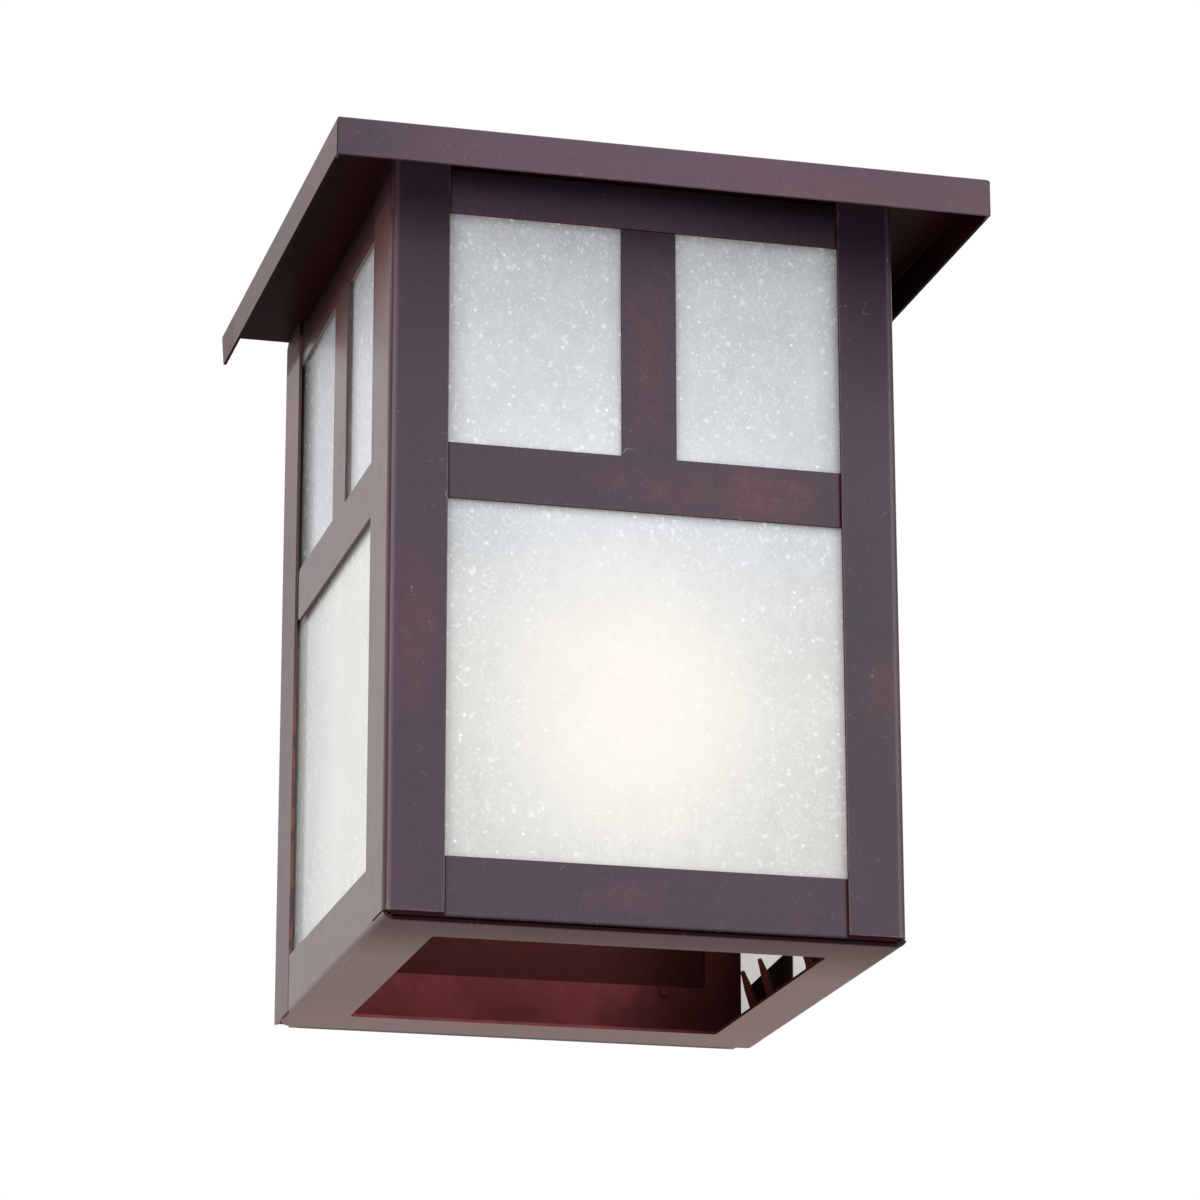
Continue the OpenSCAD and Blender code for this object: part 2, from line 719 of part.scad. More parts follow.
// Lampholder with its mouth down
module lampholder() {
    color(porcelain) placed() difference() {
        translate([0, lamp_y, 0]) rotate_extrude() difference() {
            union() {
                span2(0, holder_r - holder_edge_r, holder_mouth, holder_shoulder);
                span2(0, holder_r, holder_mouth + holder_edge_r, holder_shoulder);
                translate([holder_r - holder_edge_r, holder_mouth + holder_edge_r])
                    circle(holder_edge_r);
                polygon([[0, holder_shoulder], [holder_r, holder_shoulder],
                         [holder_r - shoulder_in, holder_top], [0, holder_top]]);
            }
            span2(-cut, shell_out + shell_room, holder_mouth - cut, shell_top);
            span2(-cut, shell_in - shell_lip, holder_mouth - cut, holder_floor);
            span2(-cut, nipple_r + fit_gap, nipple_z, holder_top + cut);
            left_half();
        }
        // Holes for the two leads
        for (s = [-1, 1]) translate([s * lead_x, 0, lead_z])
            rod_y(lead_r + lead_hole_gap, lead_hole_y, lamp_y + holder_r + cut);
    }
}

module screw_shell() {
    color(brass) on_lamp_axis() rotate_extrude() {
        span2(shell_in, shell_out, shell_mouth, shell_top);
        span2(shell_in - shell_lip, shell_in + touch, shell_top - shell_t, shell_top);
    }
}

module centre_contact() {
    color(brass) on_lamp_axis() {
        translate([0, 0, lamp_z + contact_gap]) cylinder(r = contact_r, h = contact_t);
        translate([0, 0, lamp_z + contact_gap])
            cylinder(r = contact_stem_r, h = holder_floor - lamp_z - contact_gap);
    }
}

// Socket leads: a tube swept along a rounded route
function along(a, b, t) = a + (b - a) * t;
function corner_points(a, b, c, n) = [for (i = [0:n]) let (t = i / n)
    along(along(along(a, b, 1 - lead_round), b, t), along(b, along(b, c, lead_round), t), t)];
function route_points(p) = concat([p[0]],
    [for (i = [1:len(p) - 2]) each corner_points(p[i - 1], p[i], p[i + 1], 4)], [p[len(p) - 1]]);
function unit(v) = v / norm(v);
function tangent(p, i) = unit(p[min(i + 1, len(p) - 1)] - p[max(i - 1, 0)]);
function ring(p, i, r, n) = let (t = tangent(p, i), u = [1, 0, 0] - t * t[0], a = unit(u),
    b = cross(t, a)) [for (k = [0:n - 1]) p[i] + r * (a * cos(360 * k / n) + b * sin(360 * k / n))];
module tube(p, r, n) {
    m = len(p);
    polyhedron(
        points = [for (i = [0:m - 1]) each ring(p, i, r, n)],
        faces = concat([[for (k = [0:n - 1]) k]],
            [for (i = [0:m - 2], k = [0:n - 1]) each let (a = i * n + k, b = i * n + (k + 1) % n)
                [[a, a + n, b], [b, a + n, b + n]]],
            [[for (k = [n - 1:-1:0]) (m - 1) * n + k]]));
}

module lead() { tube(route_points(lead_route), lead_r, 8); }
module live_lead() { color([0.1, 0.1, 0.1]) placed() lead(); }
module neutral_lead() { color([0.9, 0.9, 0.88]) placed() mirror([1, 0, 0]) lead(); }

// The side of a turned profile that must stay empty
module left_half() { translate([-2 * holder_r, 0]) square([2 * holder_r, body_h]); }

// Lamp, hanging cap up; the end contact is its own piece
module lamp_eyelet() {
    edge_z = lamp_z - eyelet_edge;
    color(zinc) on_lamp_axis() rotate_extrude() {
        span2(0, eyelet_r, insulator_top, edge_z);
        span2(0, eyelet_r - eyelet_edge, insulator_top, lamp_z);
        intersection() {
            translate([eyelet_r - eyelet_edge, edge_z]) circle(eyelet_edge);
            span2(0, eyelet_r, edge_z, lamp_z);
        }
    }
}

module lamp_insulator() {
    color([0.08, 0.08, 0.1]) on_lamp_axis() translate([0, 0, cap_top])
        cylinder(r1 = cap_r - cap_shoulder_r, r2 = insulator_r, h = insulator_h);
}

module lamp_cap() {
    shoulder_x = cap_r - cap_shoulder_r;
    shoulder_z = cap_top - cap_shoulder_r;
    color(zinc) on_lamp_axis() rotate_extrude() difference() {
        union() {
            span2(0, cap_r, cap_foot, shoulder_z);
            span2(0, shoulder_x, cap_foot, cap_top);
            translate([shoulder_x, shoulder_z]) circle(cap_shoulder_r);
            span2(0, cap_r + cap_rim, cap_foot, cap_foot + cap_rim_h);
        }
        span2(-cut, cap_r - cap_t, cap_foot - cut, cap_top - cap_shoulder_r - cap_t);
        left_half();
    }
}

// Bulb outline: a ball, a curve and a neck that goes up into the cap
function bezier(a, b, c, d, t) = a * pow(1 - t, 3) + 3 * b * t * pow(1 - t, 2)
    + 3 * c * t * t * (1 - t) + d * pow(t, 3);
function bulb_outline(inset) = let (
    r = bulb_r - inset,
    neck = neck_r - inset,
    join = [r * cos(bulb_join), bulb_z + r * sin(bulb_join)],
    pull = 0.4 * bulb_r * [-sin(bulb_join), cos(bulb_join)]) concat(
    [for (a = [-90:7.5:bulb_join]) [r * cos(a), bulb_z + r * sin(a)]],
    [for (t = [0.1:0.1:1]) bezier(join, join + pull, [neck, cap_foot - neck_in], [neck, cap_foot], t)]);
module lamp_bulb() {
    color([1, 0.97, 0.9]) on_lamp_axis() rotate_extrude() polygon(concat(
        bulb_outline(0), [[neck_r, cap_foot + neck_in], [neck_r - bulb_t, cap_foot + neck_in]],
        [for (i = [len(bulb_outline(bulb_t)) - 1:-1:0]) bulb_outline(bulb_t)[i]]));
}

// Mounting bar inside the junction box and its screws
module bar_hole(x, r) { translate([x, 0, 0]) rod_y(r, bar_y - cut, bar_back + cut); }

module mounting_bar() {
    slot_end = (slot_len - slot_w) / 2;
    color(zinc) placed() translate([0, 0, mount_h]) difference() {
        along_y(bar_y, bar_back)
            rounded_span(-bar_len / 2, bar_len / 2, -bar_w / 2, bar_w / 2, bar_corner_r);
        for (x = [-box_spacing / 2, box_spacing / 2]) {
            span3([x - slot_end, x + slot_end], [bar_y - cut, bar_back + cut], [-slot_w / 2, slot_w / 2]);
            bar_hole(x - slot_end, slot_w / 2);
            bar_hole(x + slot_end, slot_w / 2);
        }
        for (s = [-1, 1]) bar_hole(s * stud_spacing / 2, stud_d / 2 + touch);
        bar_hole(0, bar_hole_r);
        bar_hole(ground_x, ground_r + touch);
    }
}

module mounting_screws() {
    color(zinc) placed() stud_places() {
        rod_y(stud_d / 2, plate_y - cap_nut_h - cut, bar_back + stud_head_h);
        rod_y(stud_head_r, bar_back, bar_back + stud_head_h);
    }
}

// Cap nuts, seen from inside the lantern
module cap_nuts() {
    dome_y = plate_y - cap_nut_h;
    color(bronze_inside) placed() stud_places() difference() {
        union() {
            translate([0, plate_y, 0]) rotate([90, 0, 0])
                cylinder(r = cap_nut_d / 2, h = cap_nut_h, $fn = 6);
            translate([0, dome_y, 0]) rotate([90, 0, 0]) rotate_extrude() intersection() {
                circle(nut_dome_r);
                square(nut_dome_r);
            }
        }
        rod_y(stud_d / 2 + touch, dome_y - 1.5 * cut, plate_y + cut);
    }
}

module ground_screw() {
    color([0.2, 0.55, 0.3]) placed() translate([ground_x, 0, mount_h]) {
        rod_y(ground_r, bar_y, bar_back);
        translate([0, bar_back, 0]) rotate([-90, 0, 0])
            cylinder(r = ground_head_r, h = ground_head_h, $fn = 6);
    }
}

roof();
left_side_frame();
right_side_frame();
bottom_tray();
front_bottom_rail();
front_transom();
front_mullion();
front_top_rail();
left_top_rail();
right_top_rail();
back_pan();
back_plate();
front_glass();
left_glass();
right_glass();
front_glass_clips();
left_glass_clip();
right_glass_clip();
plate_screws();
lamp_bracket();
bracket_rivets();
holder_nipple();
nipple_nut();
lampholder();
screw_shell();
centre_contact();
live_lead();
neutral_lead();
lamp_eyelet();
lamp_insulator();
lamp_cap();
lamp_bulb();
mounting_bar();
mounting_screws();
cap_nuts();
ground_screw();
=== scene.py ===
from functools import cached_property
from math import radians

import bpy
from mathutils import Euler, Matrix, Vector

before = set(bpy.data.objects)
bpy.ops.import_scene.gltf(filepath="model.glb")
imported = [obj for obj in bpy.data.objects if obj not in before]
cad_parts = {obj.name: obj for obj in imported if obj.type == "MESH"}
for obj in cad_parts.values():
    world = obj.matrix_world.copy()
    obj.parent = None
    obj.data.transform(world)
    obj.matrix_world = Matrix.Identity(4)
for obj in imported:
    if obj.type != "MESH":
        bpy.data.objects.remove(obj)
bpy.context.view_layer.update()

MM = 0.001
# The finishes count in millimetres from the light's own bench corner: x across,
# y from the front face back to the wall, z up from the tray's underside.
BENCH_CORNER = (0.0, 0.177, 0.120)

# Sizes of the light that its finishes follow, in millimetres
SHEET = 1.0
BODY_HALF_W = 81.8
BODY_MIDDLE = (0.0, 88.0, 118.0)
BEND_R = 2.8
POST_EDGE = 63.2
POST_FOOT = 2.8
RAIL_TOP = 20.4
CROSS_BAR = (133.2, 151.0)
TOP_RAIL = 226.6
FRONT_BAR = (-7.7, 9.9)
SIDE_PANE_Y = (26.5, 151.0)
SIDE_BAR = (68.0, 88.0)
WEB_FRONT = 175.0
PLATE_FRONT = 176.0
ROOF_UNDER = 242.0
ROOF_HALF_W = 105.0
ROOF_FRONT = -28.5
FASCIA_FOOT = 230.6

# Share of the usual reflection that a dull surface keeps
MATTE_SHINE = 0.015
# Share of a speck's radius that has its full tone
SPECK_CORE = 0.35
# The turn, in radians about an axis, that sets a second noise apart from the first
APART_ANGLE = 1.1
APART_AXIS = (0.4, 0.5, 0.77)
# Sockets of a Mix node that mixes colours
MIX_FIRST, MIX_SECOND, MIX_RESULT = 6, 7, 2


def srgb(red, green, blue):
    """A colour as it reads on a screen, 0 to 255, as Blender's linear colour."""
    parts = [c / 255 for c in (red, green, blue)]
    return tuple(c / 12.92 if c <= 0.04045 else ((c + 0.055) / 1.055) ** 2.4 for c in parts)


class Thread:
    """One value that runs through a finish; arithmetic on it adds Math nodes."""

    def __init__(self, bench, socket):
        self.bench = bench
        self.socket = socket

    def maths(self, operation, *values):
        settings = {"operation": operation}
        return self.bench.node("ShaderNodeMath", settings, dict(enumerate(values)))

    def __add__(self, other):
        return self.maths("ADD", self, other)

    def __sub__(self, other):
        return self.maths("SUBTRACT", self, other)

    def __mul__(self, other):
        return self.maths("MULTIPLY", self, other)

    def __rsub__(self, other):
        return self.maths("SUBTRACT", other, self)

    __radd__ = __add__
    __rmul__ = __mul__

    def size(self):
        return self.maths("ABSOLUTE", self)

    def most(self, other):
        return self.maths("MAXIMUM", self, other)

    def step(self, low, high):
        """0 below low and 1 above high, smooth between; low may be the larger."""
        settings = {"interpolation_type": "SMOOTHSTEP"}
        sockets = {"Value": self, "From Min": low, "From Max": high}
        return self.bench.node("ShaderNodeMapRange", settings, sockets)

    def near(self, place, core, reach):
        """1 within core of a place on this axis, 0 beyond reach."""
        return self.step(place - reach, place - core) * self.step(place + reach, place + core)

    def between(self, first, second):
        """The first number where this mask is 0, the second where it is 1."""
        return first + self * (second - first)


class Bench:
    """One node tree; node() adds any node to it and gives its outputs as threads."""

    def __init__(self, tree):
        self.tree = tree
        tree.nodes.clear()

    def node(self, kind, settings=None, sockets=None, output=0):
        made = self.tree.nodes.new(kind)
        for name, value in (settings or {}).items():
            setattr(made, name, value)
        for key, value in (sockets or {}).items():
            if isinstance(value, Thread):
                self.tree.links.new(value.socket, made.inputs[key])
            else:
                made.inputs[key].default_value = value
        if not made.outputs:
            return None
        if isinstance(output, tuple):
            return tuple(Thread(self, made.outputs[key]) for key in output)
        return Thread(self, made.outputs[output])

    def vectors(self, operation, sockets, output="Vector"):
        return self.node("ShaderNodeVectorMath", {"operation": operation}, sockets, output)

    def parts(self, vector):
        return self.node("ShaderNodeSeparateXYZ", sockets={0: vector}, output=(0, 1, 2))


class Finish(Bench):
    """A procedural material, with the noises and masks that its look is made of."""

    def __init__(self, name):
        self.material = bpy.data.materials.new(name)
        self.material.use_nodes = True
        super().__init__(self.material.node_tree)
        corner = self.node("ShaderNodeTexCoord", output="Object")
        moved = self.vectors("ADD", {0: corner, 1: BENCH_CORNER})
        self.place = self.vectors("SCALE", {0: moved, "Scale": 1 / MM})
        self.x, self.y, self.z = self.parts(self.place)

    def stretched(self, factors, vector=None):
        return self.vectors("MULTIPLY", {0: vector or self.place, 1: factors})

    def turned(self, vector=None):
        """The place turned round, so that a second noise doesn't follow the first."""
        sockets = {"Vector": vector or self.place, "Angle": APART_ANGLE, "Axis": APART_AXIS}
        return self.node("ShaderNodeVectorRotate", {"rotation_type": "AXIS_ANGLE"}, sockets)

    def distance(self, point, squash):
        """Millimetres from a point, each axis weighted by squash."""
        there = tuple(a * b for a, b in zip(point, squash))
        return self.vectors("DISTANCE", {0: self.stretched(squash), 1: there}, "Value")

    def clouds(self, size, detail=3.0, roughness=0.5, twist=0.0, vector=None):
        """Smooth noise about 0.5 with features of this many millimetres."""
        sockets = {"Vector": vector or self.place, "Scale": 1 / size, "Detail": detail,
                   "Roughness": roughness, "Distortion": twist}
        return self.node("ShaderNodeTexNoise", sockets=sockets)

    def dots(self, spacing, radius, share, vector=None):
        """Round specks of this radius in a share of the cells, spacing millimetres apart."""
        sockets = {"Vector": vector or self.place, "Scale": 1 / spacing}
        outputs = ("Distance", "Color")
        near, tint = self.node("ShaderNodeTexVoronoi", sockets=sockets, output=outputs)
        pick, strength, _ = self.parts(tint)
        edge = radius / spacing
        kept = pick.step(1 - share, 1 - share * 0.7)
        return near.step(edge, edge * SPECK_CORE) * kept * (0.4 + strength)

    def hairs(self, size, width, share, vector=None):
        """Fine curved scratches: level lines of a noise, kept in a share of the places."""
        level = self.clouds(size, 1.0, 0.4, 0.3, vector)
        keep = self.clouds(size * 0.4, 1.0, 0.4, 0.0, self.turned(vector))
        line = (level - 0.5).size().step(width, width * 0.3)
        return line * keep.step(1.0 - share, 1.06 - share)

    def blend(self, mask, first, second):
        """The first colour where mask is 0, the second where it is 1."""
        sockets = {0: mask}
        for key, colour in ((MIX_FIRST, first), (MIX_SECOND, second)):
            sockets[key] = colour if isinstance(colour, Thread) else (*colour, 1.0)
        return self.node("ShaderNodeMix", {"data_type": "RGBA"}, sockets, MIX_RESULT)

    def lightened(self, colour, factor):
        """The colour times a number that varies over the surface."""
        return self.vectors("SCALE", {0: colour, "Scale": factor})

    def relief(self, height):
        """A bump whose height is in millimetres."""
        sockets = {"Height": height, "Distance": MM, "Strength": 1.0}
        return self.node("ShaderNodeBump", sockets=sockets)

    def facing(self):
        return self.node("ShaderNodeTexCoord", output="Normal")

    def inward(self):
        """1 on faces that look to the middle of the light, 0 on those that look out."""
        inwards = self.vectors("SUBTRACT", {0: BODY_MIDDLE, 1: self.place})
        lean = self.vectors("DOT_PRODUCT", {0: self.facing(), 1: inwards}, "Value")
        return lean.step(-2.0, 2.0)

    def principled(self, sockets):
        named = {key.replace("_", " "): value for key, value in sockets.items()}
        return self.node("ShaderNodeBsdfPrincipled", sockets=named)

    def done(self, dull=None, **sockets):
        """The finished material; it has next to no shine where dull is 1."""
        shader = self.principled(sockets)
        if dull:
            matte = self.principled({**sockets, "Specular_IOR_Level": MATTE_SHINE})
            shader = self.node("ShaderNodeMixShader", sockets={0: dull, 1: shader, 2: matte})
        self.node("ShaderNodeOutputMaterial", sockets={"Surface": shader})
        return self.material


# Dark bronze paint: plum grey over a dark red base coat that shows through in soft patches,
# with lighter and darker copies of it painted in for light and shade
PLUM = srgb(64, 50, 62)
# Painted light: a lighter plum on the fascia's front, but for its left end
LIT_FASCIA_PLUM = srgb(88, 66, 80)
MAROON = srgb(122, 60, 76)
# Painted light: lighter, greyer copies of the paint on the flanks and the tray's underside
LIT_FLANK_GREY = srgb(88, 61, 60)
LIT_TRAY_GREY = srgb(124, 93, 88)
BASE_COAT = srgb(145, 74, 79)
DARK_COAT = srgb(124, 62, 65)
# Painted shade: the inside's right corner, the plate's recess, and the roof's underside
CORNER_SHADE = srgb(24, 5, 4)
PLATE_SHADE = srgb(82, 42, 41)
ROOF_SHADE = srgb(38, 13, 13)
# Dark red for the seams beside the posts and the painted dark reflection at the bends; painted
# shade in the tray's front gap
SEAM_AND_DARK_REFLECTION_RED = srgb(60, 20, 27)
GAP_SHADE_DARK = srgb(26, 10, 13)
RAW_EDGE = srgb(102, 84, 83)
STRIP_EDGE = srgb(84, 36, 42)
RED_EDGE = srgb(140, 92, 88)
GREY_EDGE = srgb(126, 112, 106)
# Worn light rims with a painted highlight, also the painted highlight on the bends
RIM_WEAR_AND_HIGHLIGHT = srgb(122, 92, 106)
DUST = srgb(150, 140, 144)

# Places where the red base coat shows, as (x, y, z), (reach across, along, up), strength
RED_PATCHES = (
    ((38.0, 0.0, 142.0), (24.0, 20.0, 14.0), 0.75),
    ((16.0, 0.0, 141.0), (40.0, 20.0, 12.0), 0.35),
    ((-6.0, 0.0, 143.0), (18.0, 20.0, 9.0), 0.3),
    ((1.0, 0.0, 184.0), (12.0, 20.0, 50.0), 0.3),
    ((-73.0, 0.0, 90.0), (12.0, 20.0, 40.0), 0.4),
    ((76.0, 0.0, 81.0), (12.0, 20.0, 18.0), 0.36),
    ((68.0, 0.0, 20.0), (6.0, 20.0, 22.0), 0.2),
    ((-6.0, 0.0, 11.0), (22.0, 20.0, 9.0), 0.34),
    ((50.0, 0.0, 9.0), (16.0, 20.0, 7.0), 0.15),
    ((52.0, -28.0, 234.0), (60.0, 12.0, 16.0), 0.3),
    ((98.0, -28.0, 232.0), (24.0, 12.0, 12.0), 0.35),
)


class BronzePaint(Finish):
    """The lantern's paint; each mask is a place on the painted sheets, 1 inside it."""

    def __init__(self):
        super().__init__("mottled_bronze_paint")
        self.nx, self.ny, self.nz = self.parts(self.facing())
        self.wide = self.x.size()
        self.mottle = self.clouds(7.0, 4.0, 0.6)
        self.grain = self.clouds(0.7, 3.0, 0.75)
        self.rough_grain = self.grain.step(0.3, 0.7)
        self.fleck = self.clouds(3.0, 3.0, 0.6, 0.4, self.stretched((1.0, 1.0, 0.5)))
        # Behind the fascia, and within the body's width
        self.behind = self.y.step(-0.5, -0.2)
        self.on_body = self.wide.step(BODY_HALF_W + 0.6, BODY_HALF_W + 0.3)
        # The front strips, which lie one sheet behind the posts
        self.set_back = self.y.step(0.4, 0.9)

    @cached_property
    def body(self):
        """The body without the roof."""
        low = self.z.step(ROOF_UNDER, ROOF_UNDER - 0.4)
        return low * self.y.step(-1.0, -0.5) * self.wide.step(90.0, 86.0)

    @cached_property
    def tray_bends(self):
        """The soft bends along the tray's sides."""
        return self.z.step(6.0, 4.0) * self.wide.step(BODY_HALF_W - 8.0, BODY_HALF_W - 7.0)

    @cached_property
    def flank(self):
        """What looks sideways; on the tray's bends it runs over into the underside."""
        turn = self.nx.size()
        return turn.step(0.7, 0.95).most(self.tray_bends * turn.step(0.1, 0.4))

    @cached_property
    def front(self):
        """The outside that is not a flank."""
        return self.body * (1 - self.flank)

    @cached_property
    def below(self):
        """The tray's underside."""
        return self.nz.step(-0.35, -0.9) * self.z.step(1.25, 1.1).most(self.tray_bends)

    @cached_property
    def tray_front(self):
        """The front part of that underside, which gets less light."""
        return self.below * self.y.step(62.0, 2.0)

    @cached_property
    def fascia_edge(self):
        """The lower edge of the roof's turned down front and sides."""
        around = self.wide.step(ROOF_HALF_W - 11.0, ROOF_HALF_W - 10.0)
        around = around.most(self.y.step(ROOF_FRONT + 8.5, ROOF_FRONT + 7.5))
        low = self.z.step(FASCIA_FOOT + 0.2, FASCIA_FOOT - 0.2)
        return low * around * self.nz.size().step(0.3, 0.6)

    @cached_property
    def front_edge(self):
        """The front of that lower edge, in the light rim colour; the sides' edges keep the
        painted roof shade.
        """
        return self.fascia_edge * self.y.step(ROOF_FRONT + 4.5, ROOF_FRONT + 3.5)

    @cached_property
    def inner(self):
        """What looks to the inside, without the fascia's front edge."""
        return self.inward() * (1 - self.front_edge)

    @cached_property
    def overhang(self):
        """The roof's shade on the front, most on the right."""
        depth = 0.2 + 0.35 * self.wide.step(20.0, 70.0) + 0.45 * self.x.step(40.0, 75.0)
        rail = self.z.step(TOP_RAIL - 1.0, TOP_RAIL) * self.set_back
        return depth * self.z.step(150.0, 225.0) * self.front * (1.0 - 0.9 * rail)

    @cached_property
    def side_rails(self):
        """The top rails on the flanks, deep in the roof's shade."""
        high = self.z.step(TOP_RAIL + 1.0, TOP_RAIL + 6.0)
        return high * self.wide.step(79.0, 79.5) * self.body * self.flank

    @cached_property
    def front_rail(self):
        """The upper part of the front top rail."""
        return self.z.step(TOP_RAIL + 1.0, ROOF_UNDER - 1.0) * self.set_back * self.front

    @cached_property
    def side_edges(self):
        """The cut edges of the side frames, the top rails and the rear stiles."""
        sheet = self.wide.step(BODY_HALF_W - SHEET - 0.15, BODY_HALF_W - SHEET - 0.05)
        length = self.y.step(3.0, 3.4) * self.y.step(WEB_FRONT - 0.4, WEB_FRONT - 0.8)
        return sheet * self.nx.size().step(0.6, 0.3) * length * self.z.step(3.6, 4.2)

    @cached_property
    def front_edges(self):
        """The cut edges of the posts' faces and of the front strips."""
        sheet = self.y.step(2.3, 2.1) * self.behind * self.ny.size().step(0.6, 0.3)
        bend = BODY_HALF_W - BEND_R
        return sheet * self.wide.step(bend + 0.1, bend - 0.1)

    @cached_property
    def raw(self):
        """All cut edges that the roof doesn't hide."""
        under_roof = self.z.step(ROOF_UNDER - 5.0, ROOF_UNDER - 5.4)
        return self.side_edges.most(self.front_edges) * under_roof * self.on_body

    @cached_property
    def tray_gap_shade(self):
        """Painted shade in the gap above the tray's front edge."""
        low = self.z.step(2.5, 1.5) * self.y.step(2.8, 2.4)
        return low * self.ny.step(-0.1, -0.3) * self.wide.step(79.4, 78.6)

    @cached_property
    def seams(self):
        """The dark seams beside the posts, and the painted shade in the tray's front gap."""
        beside = self.wide.step(POST_EDGE - 0.9, POST_EDGE - 0.2)
        beside = beside * self.y.step(0.5, 0.9) * self.y.step(1.6, 1.2)
        return (beside * self.ny.step(-0.5, -0.8)).most(self.tray_gap_shade) * 0.95

    def outside(self):
        """Plum grey over the red base coat, with painted light: lighter, greyer copies on the
        flanks, the underside and the fascia's front.
        """
        worn = self.clouds(28.0, 3.0, 0.55, 0.6).step(0.48, 0.8) * 0.2
        for place, reach, strength in RED_PATCHES:
            squash = tuple(1 / r for r in reach)
            worn = worn.most(self.distance(place, squash).step(1.1, -0.1) * strength)
        worn = worn * self.mottle.step(0.15, 0.75) + 0.16 * (self.rough_grain - 0.5)
        # Painted light: the fascia's front lighter, but for its left end
        fascia = self.z.step(FASCIA_FOOT - 1.0, FASCIA_FOOT - 0.6)
        fascia = fascia * self.y.step(ROOF_FRONT + 2.5, ROOF_FRONT + 1.5)
        fascia = fascia * self.x.step(-112.0, -50.0)
        colour = self.blend(worn, self.blend(fascia, PLUM, LIT_FASCIA_PLUM), MAROON)
        # Painted light: the flanks and the underside in lighter greys
        colour = self.blend(self.flank, colour, self.blend(worn * 0.6, LIT_FLANK_GREY, MAROON))
        return self.blend(self.below, colour, LIT_TRAY_GREY)

    def inside(self):
        """The base coat, with painted shade: darker on the plate's recess, in the right corner
        and under the roof.
        """
        patchy = self.clouds(24.0, 4.0, 0.6).step(0.36, 0.66)
        coat = self.blend(patchy, DARK_COAT, BASE_COAT)
        # Painted shade: the plate's recess, the right corner inside, and under the roof
        plate = self.y.step(WEB_FRONT + 0.4, PLATE_FRONT - 0.2)
        coat = self.blend(plate, coat, PLATE_SHADE)
        coat = self.blend(self.x.step(22.0, 68.0) * 0.85, coat, CORNER_SHADE)
        beyond = (self.wide - BODY_HALF_W).most(0 - self.y).step(-0.2, 0.4)
        corner = self.wide.step(77.0, 78.0).most(self.y.step(4.0, 3.0))
        corner = self.z.step(236.0, 238.0) * corner
        under_roof = (beyond * self.z.step(222.0, 228.0)).most(corner)
        return self.blend(under_roof, coat, ROOF_SHADE)

    def shade(self):
        """How light the paint is: its mottling, and the painted light and shade that make each
        place darker or lighter.
        """
        x, y, z = self.x, self.y, self.z
        speck = self.clouds(0.9, 3.0, 0.7)
        level = 0.78 + 0.20 * self.mottle + 0.24 * self.rough_grain
        level = level + self.below * (1.6 * speck - 0.8)
        rail = self.front_rail
        rail_foot = z.step(TOP_RAIL - 0.5, TOP_RAIL) * self.set_back * self.front
        post = y.step(24.0, 18.0) * z.step(18.0, 40.0)
        rear_end = y.step(40.0, 140.0) * y.step(SIDE_PANE_Y[1] + 0.4, SIDE_PANE_Y[1])
        changes = (
            # Painted shade: under the roof, and on the tray's front part
            -0.30 * self.overhang,
            -0.52 * self.tray_front,
            -0.45 * self.side_rails * y.step(160.0, 140.0),
            -0.78 * self.side_rails * z.step(231.0, ROOF_UNDER),
            # Painted light and shade on the front top rail: a light foot, and a light line
            # where its shade begins
            0.90 * rail * (1.0 - rail),
            -0.80 * rail,
            rail_foot * x.step(-10.0, 55.0).between(0.95, 0.1),
            # Painted light on the tray to the right and the rear, then painted shade on the
            # outside to the right
            self.below * (0.14 * x.step(40.0, 70.0) + 0.12 * y.step(120.0, 150.0)),
            -0.14 * x.step(30.0, 70.0) * (1 - self.inner) * (1 - self.below),
            # Painted light and shade on the flanks: lighter upwards and on the posts, darker
            # to the rear
            0.60 * self.flank * z.step(160.0, 215.0) * self.body,
            self.flank * (0.16 * post - 0.12 * rear_end),
        )
        for change in changes:
            level = level * (1.0 + change)
        return level

    def edged(self, colour):
        """The colour with its cut edges, seams and the painted shade in the tray's front gap.
        """
        metal = self.blend(self.side_edges, STRIP_EDGE, RAW_EDGE)
        colour = self.blend(self.raw * 0.9, colour, metal)
        # Red shows most on the front edge of each rear stile, grey below the top rails
        stile = self.side_edges * self.y.near(SIDE_PANE_Y[1], 0.1, 0.3)
        stile = stile * self.fleck.step(0.42, 0.56) * self.z.step(126.0, 96.0)
        colour = self.blend(stile, colour, RED_EDGE)
        rails = self.z.near(TOP_RAIL, 0.1, 0.3) * self.nz.step(-0.5, -0.8)
        colour = self.blend(rails * self.wide.step(79.0, 79.6), colour, GREY_EDGE)
        # Dark red seams beside the posts; painted shade in the tray's front gap
        seam_colour = self.blend(self.tray_gap_shade, SEAM_AND_DARK_REFLECTION_RED, GAP_SHADE_DARK)
        return self.blend(self.seams, colour, seam_colour)

    def rims_and_bend_sheen(self, colour):
        """The colour with a worn light rim on the posts' faces, partly a painted highlight,
        and a painted reflection across the corner bends.
        """
        rim = self.wide.step(POST_EDGE + 0.5, POST_EDGE + 0.15)
        rim = rim.most(self.z.step(POST_FOOT + 0.45, POST_FOOT + 0.1))
        rim = rim * self.y.step(0.3, 0.1) * self.behind * self.fleck.step(0.3, 0.6)
        colour = self.blend(rim * self.ny.step(-0.5, -0.8) * 0.5, colour, RIM_WEAR_AND_HIGHLIGHT)
